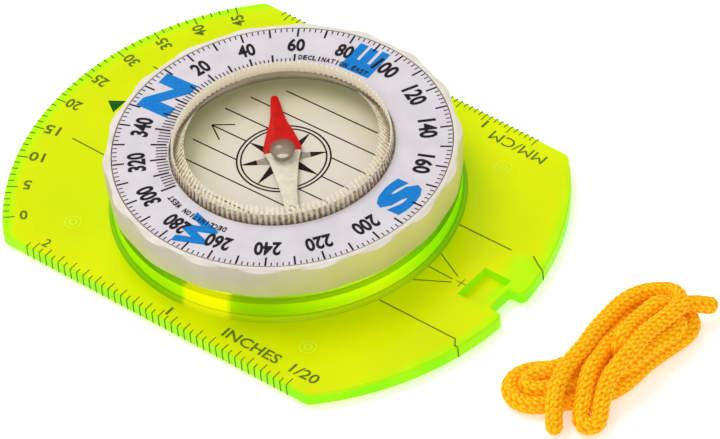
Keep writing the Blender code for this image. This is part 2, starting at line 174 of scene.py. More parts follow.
def see_through(tree, shader, clear_share, tint):
    """Mixes a share of plain transparency into a shader, tinted."""
    clear = node(tree, "ShaderNodeBsdfTransparent", {"Color": tint})
    mix = node(tree, "ShaderNodeMixShader")
    plug(tree, mix.inputs[0], clear_share)
    tree.links.new(shader.outputs[0], mix.inputs[1])
    tree.links.new(clear.outputs[0], mix.inputs[2])
    tree.links.new(mix.outputs[0], tree.nodes["Material Output"].inputs["Surface"])


def upwards(tree):
    """1 on faces that look straight up or down, 0 on walls."""
    normal = node(tree, "ShaderNodeNewGeometry").outputs["Normal"]
    height = node(tree, "ShaderNodeSeparateXYZ", {"Vector": normal}).outputs["Z"]
    return maths(tree, "ABSOLUTE", height)


def from_axis(tree, shift_x=0.0, shift_y=0.0):
    """Distance from the dial's axis, or from beside it, and how far across and along, in millimetres."""
    parts = node(tree, "ShaderNodeSeparateXYZ", {"Vector": row_place(tree)})
    across = maths(tree, "ADD", maths(tree, "DIVIDE", parts.outputs["X"], MM), shift_x)
    along = maths(tree, "ADD", maths(tree, "DIVIDE", parts.outputs["Y"], MM), shift_y - AXIS_Y)
    squares = maths(tree, "ADD", times(tree, across, across), times(tree, along, along))
    return maths(tree, "SQRT", squares), across, along


def step_up(tree, value, low, high):
    """0 below low, 1 above high and a straight climb between them."""
    inputs = {"Value": value, "From Min": low, "From Max": high}
    return node(tree, "ShaderNodeMapRange", inputs, clamp=True).outputs["Result"]


def towards(tree, bearing, spot):
    """1 straight towards a bearing from the dial's axis, 0 across it."""
    distance, across, along = spot
    way = polar(bearing, 1)
    facing = maths(tree, "ADD", times(tree, across, way.x), times(tree, along, way.y))
    return maths(tree, "DIVIDE", facing, distance)


def collar_colours(tree, spot):
    """The collar's wall and its foot, with painted light and shade round the dial: the wall lighter or
    darker by bearing, a painted highlight patch on the left across both, and the foot in painted shade,
    paler towards the rear left.
    """
    # The wall's colour by bearing is painted light and shade.
    wall = ramp(tree, towards(tree, -120, spot), [
        (0.1, tone(130, 222, 6)), (0.42, tone(150, 240, 8)), (0.57, tone(176, 246, 10)),
        (0.75, tone(212, 246, 14)), (0.9, tone(184, 234, 8)), (0.966, tone(164, 218, 4)),
        (1.0, tone(142, 198, 3)),
    ])
    wall = mixed(tree, step_up(tree, towards(tree, -60, spot), 0.8, 0.88), wall, tone(160, 226, 6))
    # Painted highlight: a bright yellow patch on the left of the collar.
    painted_highlight = step_up(tree, towards(tree, -102.5, spot), 0.987, 0.992)
    wall = mixed(tree, painted_highlight, wall, tone(240, 240, 6))
    # Painted shade on the collar's foot, paler towards the rear left.
    by_rear_left = step_up(tree, towards(tree, -135, spot), 0.6, 0.85)
    foot = mixed(tree, by_rear_left, tone(126, 186, 6), tone(172, 200, 3))
    return wall, mixed(tree, painted_highlight, foot, tone(226, 228, 6))


def acrylic():
    """Fluorescent lime acrylic: yellow through its flat faces, bright green at its cut edges."""
    material, tree, shader = principled("lime_acrylic", tone(215, 235, 0), 0.14, 0.1)
    spot = from_axis(tree)
    distance, across, along = spot
    flat = step_up(tree, upwards(tree), 0.35, 0.93)
    top = ramp(tree, noise(tree, 0.05, 2.0), [(0.3, tone(210, 223, 0)), (0.7, tone(227, 232, 0))])
    rim = ramp(tree, noise(tree, 0.3, 2.0), [(0.3, tone(164, 240, 8)), (0.7, tone(186, 246, 12))])
    # Painted reflection: the top turns green near the front and side edges, as light from the cut edges.
    front_rim = times(tree, step_up(tree, distance, 42.3, 43.3), step_up(tree, along, 0.0, 8.0))
    side_rim = times(tree, step_up(tree, maths(tree, "ABSOLUTE", across), 30.9, 31.6), 0.6)
    # The rear edge's painted reflected glow reaches further in, most of all round the notch.
    by_notch = towards(tree, 178, spot)
    rear_glow = times(tree, step_up(tree, by_notch, 0.72, 0.93), 0.85)
    rear_rim = times(tree, step_up(tree, distance, 41.6, 42.9), rear_glow)
    # A painted reflected band beside the notch.
    notch_reflection = times(tree, step_up(tree, towards(tree, 172.5, spot), 0.988, 0.994),
                  step_up(tree, distance, 37.5, 39.0))
    rear_rim = maths(tree, "MAXIMUM", rear_rim, times(tree, notch_reflection, 0.75))
    painted_glow = maths(tree, "MAXIMUM", maths(tree, "MAXIMUM", front_rim, side_rim), rear_rim)
    top = mixed(tree, painted_glow, top, rim)
    wall = ramp(tree, noise(tree, 0.12, 1.0), [(0.35, tone(138, 244, 0)), (0.65, tone(172, 250, 6))])
    collar, foot = collar_colours(tree, spot)
    past_wall = step_up(tree, distance, COLLAR_RADIUS, COLLAR_RADIUS + 0.05)
    past_foot = step_up(tree, distance, COLLAR_FOOT_RADIUS, COLLAR_FOOT_RADIUS + 0.1)
    # The collar's foot carries its painted shade and painted highlight onto the plate's top.
    top = mixed(tree, opposite(tree, past_foot), top, foot)
    wall = mixed(tree, past_wall, collar, mixed(tree, past_foot, foot, wall))
    colour = mixed(tree, flat, wall, top)
    tree.links.new(colour, shader.inputs["Base Color"])
    tree.links.new(colour, shader.inputs["Emission Color"])
    # Painted glow: a faint emission over the whole plate stands in partly for its fluorescence, and extra
    # emission lightens the collar's wall as painted light.
    on_collar = times(tree, opposite(tree, past_foot), opposite(tree, flat))
    tree.links.new(maths(tree, "MULTIPLY_ADD", on_collar, 0.3, 0.12), shader.inputs["Emission Strength"])
    see_through(tree, shader, 0.22, (0.88, 0.95, 0.01, 1.0))
    return material


def white_plastic():
    """The bezel's warm white, with painted light: paler on its lip than on its shaded side, and lit yellow
    by the plate near its foot and towards the rear as painted reflection.
    """
    material, tree, shader = principled("bezel_plastic", tone(204, 198, 180), 0.45, 0.3)
    side = ramp(tree, noise(tree, 0.12, 3.0), [(0.3, tone(184, 177, 155)), (0.7, tone(196, 189, 167))])
    # Painted reflection: yellow light from the plate tints the side towards the rear.
    by_plate = step_up(tree, towards(tree, 170, from_axis(tree)), 0.3, 0.85)
    side = mixed(tree, by_plate, side, tone(209, 207, 124))
    lip = ramp(tree, noise(tree, 0.3, 2.0), [(0.3, tone(214, 206, 194)), (0.7, tone(228, 221, 212))])
    # Painted reflection: the side turns yellow near the skirt's lower edge, lit by the plate.
    height = node(tree, "ShaderNodeSeparateXYZ", {"Vector": row_place(tree)}).outputs["Z"]
    skirt = PLATE_TOP + SKIRT_HEIGHT
    lift = step_up(tree, maths(tree, "DIVIDE", height, MM), skirt, skirt + 3.3)
    side = mixed(tree, lift, tone(196, 196, 126), side)
    tree.links.new(mixed(tree, upwards(tree), side, lip), shader.inputs["Base Color"])
    bumped(tree, shader, noise(tree, 9.0, 2.0), 0.02, 0.15)
    return material


def dial_paper():
    material, tree, shader = principled("dial_white", tone(224, 217, 228), 0.4, 0.25)
    colour = ramp(tree, noise(tree, 0.25, 4.0), [(0.3, tone(206, 199, 206)), (0.7, tone(217, 210, 215))])
    tree.links.new(colour, shader.inputs["Base Color"])
    bumped(tree, shader, noise(tree, 12.0, 1.0), 0.01, 0.05)
    return material


def ink(name, colour, worn):
    """Printing ink, a little uneven where the screen left less of it."""
    material, tree, shader = principled(name, colour, 0.6, 0.12)
    printed = ramp(tree, noise(tree, 3.0, 3.0), [(0.25, worn), (0.55, colour)])
    tree.links.new(printed, shader.inputs["Base Color"])
    return material


def outside_face(tree):
    """1 where a surface is met from outside the solid and 0 from inside it."""
    return opposite(tree, node(tree, "ShaderNodeNewGeometry").outputs["Backfacing"])


def clear_cover():
    """The lid's polished faces: clear, with a faint reflection from outside."""
    material, tree, shader = principled("clear_lens", (0.01, 0.01, 0.01, 1.0), 0.04)
    mirror = times(tree, node(tree, "ShaderNodeFresnel", {"IOR": 1.3}).outputs["Fac"], 0.35)
    clear = opposite(tree, times(tree, mirror, outside_face(tree)))
    see_through(tree, shader, clear, (0.99, 0.985, 0.975, 1.0))
    return material


def tooth_colours(tree, low):
    """Cream crests over brown painted shade in the grooves and low on the neck, uneven as seen through the
    lid.
    """
    crest = node(tree, "ShaderNodeAttribute", attribute_name="crest").outputs["Fac"]
    grain = maths(tree, "MULTIPLY_ADD", noise(tree, 1.7, 3.0), 1.3, -0.65)
    shade = maths(tree, "ADD", crest, grain)
    colour = ramp(tree, shade, [
        (low, tone(84, 62, 58)), (low + 0.2, tone(132, 112, 88)), (low + 0.42, tone(196, 184, 156)),
        (low + 0.7, tone(238, 231, 214)),
    ])
    return colour, shade


def knurl_plastic():
    """The teeth on the outside of the capsule's neck, which look like a smooth cream wall from within."""
    material, tree, shader = principled("knurl_plastic", tone(206, 194, 170), 0.3)
    colour, shade = tooth_colours(tree, 0.12)
    facing = outside_face(tree)
    tree.links.new(mixed(tree, facing, tone(214, 205, 188), colour), shader.inputs["Base Color"])
    # Painted glow: the inside of the toothed wall gets emission to lift the shade on it.
    shader.inputs["Emission Color"].default_value = tone(214, 205, 188)
    painted_glow = times(tree, opposite(tree, facing), 0.4)
    tree.links.new(painted_glow, shader.inputs["Emission Strength"])
    clear = maths(tree, "MULTIPLY_ADD", facing, 0.14, 0.06)
    see_through(tree, shader, clear, (0.96, 0.94, 0.9, 1.0))
    return material


def neck_lining():
    """The sloping inside of the lid: a smooth cream wall from within, ragged tooth tips from outside."""
    material, tree, shader = principled("neck_lining", tone(214, 203, 182), 0.3)
    colour, shade = tooth_colours(tree, 0.0)
    facing = outside_face(tree)
    tree.links.new(mixed(tree, facing, colour, tone(222, 211, 190)), shader.inputs["Base Color"])
    climb = node(tree, "ShaderNodeAttribute", attribute_name="climb").outputs["Fac"]
    tips = step_up(tree, maths(tree, "SUBTRACT", shade, climb), -0.45, -0.05)
    # Painted glow: a faint emission lifts the shade on the lining.
    shader.inputs["Emission Color"].default_value = tone(222, 211, 190)
    shader.inputs["Emission Strength"].default_value = 0.1
    solid = times(tree, mixed(tree, facing, tips, (0.9, 0.9, 0.9, 1.0)), 0.8)
    see_through(tree, shader, opposite(tree, solid), (0.98, 0.96, 0.92, 1.0))
    return material


def capsule_plastic():
    material, tree, shader = principled("capsule_plastic", tone(206, 195, 172), 0.3, coat=0.3)
    colour = ramp(tree, noise(tree, 0.2, 2.0), [(0.3, tone(186, 174, 146)), (0.7, tone(216, 207, 186))])
    tree.links.new(colour, shader.inputs["Base Color"])
    return material


def floor_paper():
    """The chamber's floor: cream, with painted olive shade near its rim."""
    material, tree, shader = principled("chamber_floor", tone(236, 226, 206), 0.35, coat=0.5)
    # The painted olive shade gathers towards the front of the chamber.
    distance = from_axis(tree, 1.2, 3.0)[0]
    shade_wobble = maths(tree, "MULTIPLY_ADD", noise(tree, 0.25, 2.0), 3.0, -1.5)
    edge = maths(tree, "DIVIDE", maths(tree, "ADD", distance, shade_wobble), 20.0)
    colour = ramp(tree, edge, [
        (0.5, tone(224, 216, 202)), (0.78, tone(214, 209, 182)), (1.0, tone(196, 199, 154)),
    ])
    tree.links.new(colour, shader.inputs["Base Color"])
    return material


def enamel(name, colour, deep):
    material, tree, shader = principled(name, colour, 0.4, 0.15)
    painted = ramp(tree, noise(tree, 0.7, 2.0), [(0.3, deep), (0.65, colour)])
    tree.links.new(painted, shader.inputs["Base Color"])
    return material


def hub_plastic():
    """A smoky clear dome with painted light: brighter on the side where light gathers inside it, facing the
    rear left, with a painted highlight crescent low on that side and reddish painted shade away from it.
    """
    material, tree, shader = principled("hub_plastic", tone(140, 116, 100), 0.15, 0.4)
    normal = node(tree, "ShaderNodeNewGeometry").outputs["Normal"]
    # Painted light by facing: the ramp's last stop is a painted highlight.
    side = node(tree, "ShaderNodeVectorMath", {0: normal, 1: (-0.68, -0.66, 0.3)}, operation="DOT_PRODUCT")
    grain = maths(tree, "MULTIPLY_ADD", noise(tree, 0.9, 1.0), 0.1, -0.05)
    colour = ramp(tree, maths(tree, "ADD", side.outputs["Value"], grain), [
        (0.0, tone(124, 78, 64)), (0.3, tone(128, 104, 88)), (0.62, tone(152, 136, 116)),
        (0.88, tone(168, 152, 134)), (0.94, tone(244, 240, 230)),
    ])
    tree.links.new(colour, shader.inputs["Base Color"])
    return material


def metal(name, colour, roughness):
    material, tree, shader = principled(name, colour, roughness, metallic=1.0)
    bumped(tree, shader, noise(tree, 6.0, 2.0), 0.01, 0.2)
    return material


def rubber():
    material, tree, shader = principled("seal_rubber", tone(70, 54, 44), 0.75)
    bumped(tree, shader, noise(tree, 7.0, 2.0), 0.02, 0.4)
    return material


def foot_vinyl():
    material, tree, shader = principled("foot_vinyl", tone(220, 240, 110), 0.3)
    tree.links.new(ramp(tree, noise(tree, 0.8), [(0.3, tone(205, 232, 70)), (0.7, tone(228, 244, 130))]),
                   shader.inputs["Base Color"])
    see_through(tree, shader, 0.3, (0.9, 0.98, 0.5, 1.0))
    return material


def cord_yarn():
    """Knitted polyester: golden painted highlights on the crests, deep orange painted shade between the
    stitches, a soft sheen.
    """
    material, tree, shader = principled("lanyard_yarn", tone(236, 152, 20), 0.75, 0.12)
    relief = node(tree, "ShaderNodeAttribute", attribute_name="relief").outputs["Fac"]
    grain = maths(tree, "MULTIPLY_ADD", noise(tree, 1.2, 3.0), 0.5, -0.25)
    colour = ramp(tree, maths(tree, "ADD", relief, grain), [
        (0.0, tone(224, 84, 0)), (0.32, tone(238, 146, 0)), (0.8, tone(252, 206, 18)),
    ])
    tree.links.new(colour, shader.inputs["Base Color"])
    shader.inputs["Sheen Weight"].default_value = 0.05
    shader.inputs["Sheen Tint"].default_value = tone(255, 214, 120)
    # Painted glow: a faint emission brightens the yarn.
    shader.inputs["Emission Color"].default_value = tone(240, 146, 0)
    shader.inputs["Emission Strength"].default_value = 0.12
    shader.inputs["Subsurface Weight"].default_value = 0.15
    shader.inputs["Subsurface Radius"].default_value = (0.001, 0.0004, 0.0001)
    bumped(tree, shader, noise(tree, 5.0, 3.0), 0.05, 0.5)
    return material


# ---------------------------------------------------------------- meshes


def finished(name, build, materials, body, smooth=True, sharp=35):
    """Turns a bmesh drawn in millimetres about the dial's axis into a piece on a body."""
    place = Matrix.Translation((0.0, AXIS_Y * MM, 0.0)) @ Matrix.Scale(MM, 4)
    bmesh.ops.transform(build, matrix=place, verts=build.verts)
    bmesh.ops.recalc_face_normals(build, faces=build.faces)
    mesh = bpy.data.meshes.new(name)
    build.to_mesh(mesh)
    build.free()
    if smooth:
        mesh.shade_smooth()
        mesh.set_sharp_from_angle(angle=radians(sharp))
    piece = bpy.data.objects.new(name, mesh)
    bpy.context.scene.collection.objects.link(piece)
    for material in materials:
        mesh.materials.append(material)
    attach(piece, body)
    return piece


def polar(bearing, radius):
    angle = radians(bearing)
    return Vector((radius * sin(angle), radius * cos(angle)))


def arc(centre_x, centre_y, radius, start, end, steps):
    angles = [radians(start + (end - start) * i / steps) for i in range(steps + 1)]
    return [(centre_x + radius * cos(a), centre_y + radius * sin(a)) for a in angles]


def slab(build, outline, bottom, top):
    """Adds a closed solid between two levels with the outline as its plan."""
    face = build.faces.new([build.verts.new((p[0], p[1], bottom)) for p in outline])
    raised = bmesh.ops.extrude_face_region(build, geom=[face])
    moved = [v for v in raised["geom"] if isinstance(v, bmesh.types.BMVert)]
    bmesh.ops.translate(build, vec=(0.0, 0.0, top - bottom), verts=moved)


def stroke(build, start, end, width, level):
    """A straight printed line from start to end."""
    start, end = Vector(start), Vector(end)
    side = (end - start).normalized().orthogonal() * width / 2
    slab(build, [start + side, end + side, end - side, start - side], level, level + INK)


def radial_stroke(build, bearing, inner, outer, width, level):
    stroke(build, polar(bearing, inner), polar(bearing, outer), width, level)


def ring_stroke(build, radius, width, level, steps=96, centre=(0.0, 0.0)):
    """A thin printed circle."""
    inner, outer = radius - width / 2, radius + width / 2
    profile = [(inner, level), (outer, level), (outer, level + INK), (inner, level + INK)]
    turned(build, profile, steps, centre=centre)


def turned(build, profile, steps, radius_at=None, centre=(0.0, 0.0)):
    """Adds a closed (radius, height) profile turned about Z, and returns its faces by profile step."""
    columns = []
    for radius, height in profile:
        if radius == 0:
            columns.append([build.verts.new((centre[0], centre[1], height))] * steps)
            continue
        ring = []
        for i in range(steps):
            angle = 2 * pi * i / steps
            r = radius_at(radius, height, angle) if radius_at else radius
            ring.append(build.verts.new((centre[0] + r * cos(angle), centre[1] + r * sin(angle), height)))
        columns.append(ring)
    bands = []
    for k, lower in enumerate(columns):
        upper = columns[(k + 1) % len(columns)]
        band = []
        for i in range(steps):
            j = (i + 1) % steps
            corners = []
            for vert in (lower[i], lower[j], upper[j], upper[i]):
                if vert not in corners:
                    corners.append(vert)
            if len(corners) > 2:
                band.append(build.faces.new(corners))
        bands.append(band)
    return bands


def rounded(profile, sizes, steps=4):
    """A profile with the corners named in sizes cut to arcs: {corner index: radius}."""
    points = []
    count = len(profile)
    for i, (x, y) in enumerate(profile):
        size = sizes.get(i)
        if not size:
            points.append((x, y))
            continue
        here = Vector((x, y))
        before = (Vector(profile[i - 1]) - here).normalized() * size
        after = (Vector(profile[(i + 1) % count]) - here).normalized() * size
        for k in range(steps + 1):
            t = k / steps
            point = here + before * (1 - t) ** 2 + after * t ** 2
            points.append((point.x, point.y))
    return points


letter_shapes = {}


def lettering(text, bold):
    """The points and faces of a word in the built-in face, in a box from -0.5 to 0.5 each way."""
    key = (text, bold)
    if key not in letter_shapes:
        curve = bpy.data.curves.new("lettering", "FONT")
        curve.body = text
        curve.size = 1.0
        curve.offset = bold
        curve.extrude = 0.5
        curve.resolution_u = 3
        holder = bpy.data.objects.new("lettering", curve)
        bpy.context.scene.collection.objects.link(holder)
        bpy.context.view_layer.update()
        mesh = bpy.data.meshes.new_from_object(holder.evaluated_get(bpy.context.evaluated_depsgraph_get()))
        points = np.array([v.co for v in mesh.vertices], float)
        points[:, :2] = (points[:, :2] - points[:, :2].min(0)) / np.ptp(points[:, :2], axis=0) - 0.5
        letter_shapes[key] = (points, [list(p.vertices) for p in mesh.polygons])
        bpy.data.objects.remove(holder)
        bpy.data.curves.remove(curve)
        bpy.data.meshes.remove(mesh)
    return letter_shapes[key]


def write(build, text, place, up, width, height, level, bold=0.0):
    """Prints a word centred at place, with its tops towards the direction up."""
    points, faces = lettering(text, bold)
    up = Vector(up).normalized()
    right = Vector((up.y, -up.x))
    made = []
    for x, y, z in points:
        at = Vector(place) + right * x * width + up * y * height
        made.append(build.verts.new((at.x, at.y, level + (z + 0.5) * INK)))
    for face in faces:
        try:
            build.faces.new([made[i] for i in face])
        except ValueError:
            continue


def write_round(build, text, middle, radius, height, spread, level, bold=0.0):
    """Prints a word's letters one by one round the dial, tops outward, over spread degrees."""
    count = len(text)
    step = spread / (count - 1)
    for i, letter in enumerate(text):
        if letter == " ":
            continue
        bearing = middle + (i - (count - 1) / 2) * step
        width = height * (0.2 if letter == "I" else 0.62)
        write(build, letter, polar(bearing, radius), polar(bearing, 1), width, height, level, bold)


# ---------------------------------------------------------------- bezel and dial


def lobed(radius, height, angle):
    """The bezel's outside swells in shallow lobes; everything inside it is round."""
    if radius < BEZEL_RADIUS - 0.2:
        return radius
    climb = max(0.0, min(1.0, (height - PLATE_TOP - SKIRT_HEIGHT) / 4.0))
    return radius + BEZEL_LOBE_HEIGHT * (0.25 + 0.75 * climb) * cos(BEZEL_LOBES * angle + radians(135))


def bezel_piece(material):
    """The ring's section: its lip and outer wall, the skirt, the clip on the collar and the dial's seat."""
    skirt_bottom = PLATE_TOP + SKIRT_HEIGHT
    seat, under = FACE - 0.8, FACE - 1.6
    profile = [
        (26.35, FACE), (26.9, FACE), (27.32, FACE - 0.3), (BEZEL_RADIUS, FACE - 0.8),
        (BEZEL_RADIUS, FACE - 2.5), (BEZEL_RADIUS, FACE - 4.0), (BEZEL_RADIUS, skirt_bottom),
        (26.2, skirt_bottom), (26.2, under), (24.7, under),
        (24.7, PLATE_TOP + 2.6), (24.1, PLATE_TOP + 2.6), (24.1, PLATE_TOP + 1.2), (24.7, PLATE_TOP + 1.2),
        (24.7, PLATE_TOP + 0.4), (23.6, PLATE_TOP + 0.4), (23.6, under), (20.4, under),
        (20.4, PLATE_TOP + 2.3), (19.5, PLATE_TOP + 2.3), (19.5, seat), (26.35, seat),
    ]
    build = bmesh.new()
    turned(build, rounded(profile, {0: 0.12, 1: 0.25, 6: 0.3, 7: 0.2}), 432, lobed)
    ring = finished("bezel_shell", build, [material], "bezel")
    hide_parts("bezel_ring")


def dial_printing(black, blue):
    """The degree ring, its numbers and the letters of the four quarters."""
    level = DIAL_TOP
    ticks = bmesh.new()
    for degree in range(0, 360, 2):
        inner, width = (24.35, 0.3) if degree % 10 == 0 else (25.45, 0.17)
        radial_stroke(ticks, DIAL_TURN + degree, inner, 26.15, width, level)
    finished("dial_ticks", ticks, [black], "bezel", smooth=False)

    numbers = bmesh.new()
    for degree in range(20, 360, 20):
        if degree == 180:
            continue
        text = str(degree)
        bearing = DIAL_TURN + degree
        width = 2.7 if len(text) == 2 else 4.1
        write(numbers, text, polar(bearing, 22.45), polar(bearing, 1), width, 2.85, level + INK, 0.03)
    finished("dial_numbers", numbers, [black], "bezel", smooth=False)

    letters = bmesh.new()
    north = polar(DIAL_TURN, 1)
    for text, degree, width, height in (
        ("N", 0, 8.2, 5.8), ("E", 90, 6.1, 5.5), ("S", 180, 7.0, 5.8), ("W", 270, 7.0, 5.3),
    ):
        write(letters, text, polar(DIAL_TURN + degree, 21.95), north, width, height, level, 0.066)
    finished("dial_letters", letters, [blue], "bezel", smooth=False)


def declination_printing(black):
    """The scale round the capsule, which reads 60 degrees each way from the dial's north."""
    level = DIAL_TOP + INK
    scale = bmesh.new()
    for degree in range(-60, 61, 2):
        inner, outer, width = (17.9, 20.35, 0.3) if degree % 10 == 0 else (17.65, 19.45, 0.16)
        radial_stroke(scale, DIAL_TURN + degree, inner, outer, width, level)
    finished("declination_scale", scale, [black], "bezel", smooth=False)
    words = bmesh.new()
    write_round(words, "DECLINATION EAST", DIAL_TURN + 78.9, 19.7, 1.0, 32.5, level, 0.03)
    write_round(words, "DECLINATION WEST", DIAL_TURN - 82.6, 19.7, 1.0, 33.0, level, 0.03)
    finished("declination_words", words, [black], "bezel", smooth=False)


# ---------------------------------------------------------------- capsule and needle


def tooth(angle):
    """0 in a groove of the knurl and 1 on a crest."""
    phase = (angle * TEETH / (2 * pi)) % 1.0
    return 1 - abs(2 * phase - 1)


def capsule_piece(clear, knurl, lining):
    """The lid, with its neck cut into teeth."""
    top = FACE + LID_RISE
    neck_low, neck_high = FACE - 0.6, top - 0.3
    inner_low, inner_high = FACE - 0.9, top - 0.45

    def cut(radius, height, angle):
        if height < neck_low or height > neck_high + 0.01 or radius < 16.95:
            return radius
        return radius - TOOTH_DEPTH * (1 - tooth(angle))

    profile = [
        (0, top), (16.5, top), (16.8, top - 0.06), (16.95, top - 0.2), (17.0, neck_high),
        (17.2, neck_low), (17.35, FACE - 0.68), (18.9, FACE - 0.7), (18.9, FACE - 1.2),
        (16.85, FACE - 1.2), (16.6, inner_low), (15.0, inner_high),
        (14.7, inner_high + 0.04), (0, inner_high + 0.04),
    ]
    build = bmesh.new()
    bands = turned(build, profile, TEETH * 6, cut)
    for number, material in ((3, 1), (4, 1), (5, 1), (9, 2), (10, 2)):
        for face in bands[number]:
            face.material_index = material
    lid = finished("capsule_lid", build, [clear, knurl, lining], "capsule", sharp=60)
    crest = lid.data.attributes.new("crest", "FLOAT", "POINT")
    climb = lid.data.attributes.new("climb", "FLOAT", "POINT")
    crests, climbs = [], []
    for vert in lid.data.vertices:
        x, y = vert.co.x / MM, vert.co.y / MM - AXIS_Y
        inside = sqrt(x * x + y * y) < 16.62
        low, high = (inner_low, inner_high) if inside else (neck_low, neck_high)
        rise = max(0.0, min(1.0, (vert.co.z / MM - low) / (high - low)))
        climbs.append(rise)
        # The crest value also rises up the neck, so the painted shade gathers at its foot.
        crests.append(0.5 * tooth(atan2(y, x)) + 0.5 * rise)
    crest.data.foreach_set("value", crests)
    climb.data.foreach_set("value", climbs)
    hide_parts("capsule_lens")


def dart(build, bearing, length, root, level):
    """One point of the compass rose."""
    corners = (polar(bearing, length), polar(bearing + 45, root), Vector((0, 0)), polar(bearing - 45, root))
    slab(build, corners, level, level + INK)


def floor_printing(black, grey):
    """The orienting lines and the rose on the chamber's floor."""
    turn = Matrix.Rotation(radians(-CAPSULE_TURN), 2)
    level = FLOOR_TOP
    build = bmesh.new()
    rim, rose = 15.1, 7.34
    spacing, arrow = 4.08, 14.0
    for number in range(-3, 4):
        x = number * spacing
        end = sqrt(rim ** 2 - x ** 2) if number else arrow
        start = sqrt(rose ** 2 - x ** 2) if abs(x) < rose else 0.0
        for sign in (1, -1):
            if start == 0.0 and sign < 0:
                continue
            low = -end if start == 0.0 else sign * start
            stroke(build, turn @ Vector((x, low)), turn @ Vector((x, sign * end)), LINE_WIDTH, level)
    apex = Vector((0, arrow))
    for sign in (1, -1):
        stroke(build, turn @ apex, turn @ (apex + Vector((sign * 2.0, -3.0))), LINE_WIDTH, level)
    ring_stroke(build, 7.25, 0.28, level)
    ring_stroke(build, 6.62, 0.26, level)
    for quarter in range(4):
        bearing = CAPSULE_TURN + quarter * 90
        dart(build, bearing, 6.8, 1.45, level)
        tip = bearing + 45
        outline = [polar(tip, 6.8), polar(tip + 7.5, 4.2), polar(tip - 7.5, 4.2)]
        slab(build, outline, level, level + 1.5 * INK)
    finished("rose_and_lines", build, [black], "capsule", smooth=False)
    shade = bmesh.new()
    for quarter in range(4):
        dart(shade, CAPSULE_TURN + 45 + quarter * 90, 6.6, 1.55, level)
    finished("rose_shading", shade, [grey], "capsule", smooth=False)


def needle_half(name, side_points, tip, material):
    """Half of the needle: a thin blade with its edges pressed down, crowned along the middle."""
    outline = side_points + tip + [(-x, y) for x, y in reversed(side_points)]
    turn = Matrix.Rotation(radians(-NEEDLE_BEARING), 2)
    build = bmesh.new()
    corners = [turn @ Vector(p) for p in outline]
    bottom = [build.verts.new((p.x, p.y, BLADE_BOTTOM)) for p in corners]
    top = [build.verts.new((p.x, p.y, BLADE_BOTTOM + 0.16)) for p in corners]
    middle = sum(corners, Vector((0, 0))) / len(corners)
    raised = BLADE_BOTTOM + BLADE_CROWN
    crown = [build.verts.new((*(middle + (p - middle) * 0.86), raised)) for p in corners]
    build.faces.new(bottom)
    build.faces.new(crown)
    for i in range(len(corners)):
        j = (i + 1) % len(corners)
        build.faces.new((bottom[i], bottom[j], top[j], top[i]))
        build.faces.new((top[i], top[j], crown[j], crown[i]))
    return finished(name, build, [material], "needle", sharp=50)


def needle_pieces(red, cream, grey):
    """The red and the cream half, which meet ahead of the pivot, and the mark on the tail."""
    north_side = [
        (1.2, 0.9), (2.7, 0.75), (2.95, 1.0), (2.92, 1.7), (2.75, 2.6), (2.15, 4.9), (1.75, 6.2),
        (1.35, 7.4), (1.08, 8.8), (0.9, 10.4),
    ]
    north = needle_half("needle_north", north_side, arc(0, 12.8, 0.6, 12, 168, 10), red)
    south_side = [
        (1.2, 0.85), (2.8, 0.7), (2.3, -1.25), (1.87, -3.7), (1.5, -6.1), (1.23, -8.6), (1.0, -12.2),
    ]
    needle_half("needle_south", south_side, arc(0, -12.2, 1.0, -8, -172, 8), cream)
    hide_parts("needle_blade")
    mark = bmesh.new()
    ring_stroke(mark, 0.51, 0.18, BLADE_BOTTOM + BLADE_CROWN, 24, polar(NEEDLE_BEARING + 180, 12.0))
    finished("needle_mark", mark, [grey], "needle", smooth=False)


def hub_piece(material):
    """The needle's cap: a polished dome with a soft skirt, hollow for the jewel."""
    low, waist, high, roof = FACE - 1.75, FACE - 0.8, FACE + 0.4, FACE - 0.2
    dome = [(1.97 * cos(radians(a)), waist + (high - waist) * sin(radians(a))) for a in range(0, 90, 9)]
    profile = [(0, roof), (1.15, roof), (1.15, low), (1.6, low), (1.7, low + 0.4), (1.9, waist - 0.2)]
    profile += dome + [(0, high)]
    build = bmesh.new()
    turned(build, profile, 64)
    cap = finished("hub_cap", build, [material], "needle")
    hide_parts("needle_hub")


# ---------------------------------------------------------------- printing on the plate


def side_rule(build, x, first, step, count, long_every, lengths, level):
    """Ticks inward from a straight edge, and their ends down the edge's wall, just proud of it."""
    inward = -1 if x > 0 else 1
    wall = x * 1.0006
    for i in range(count):
        y = first + i * step
        length = lengths[0] if i % long_every == 0 else lengths[1]
        stroke(build, (x, y), (x + inward * length, y), 0.17, level)
        corners = [(wall, y - 0.1), (wall - inward * 0.02, y - 0.1),
                   (wall - inward * 0.02, y + 0.1), (wall, y + 0.1)]
        slab(build, corners, PLATE_BOTTOM + 0.15, PLATE_TOP - 0.05)


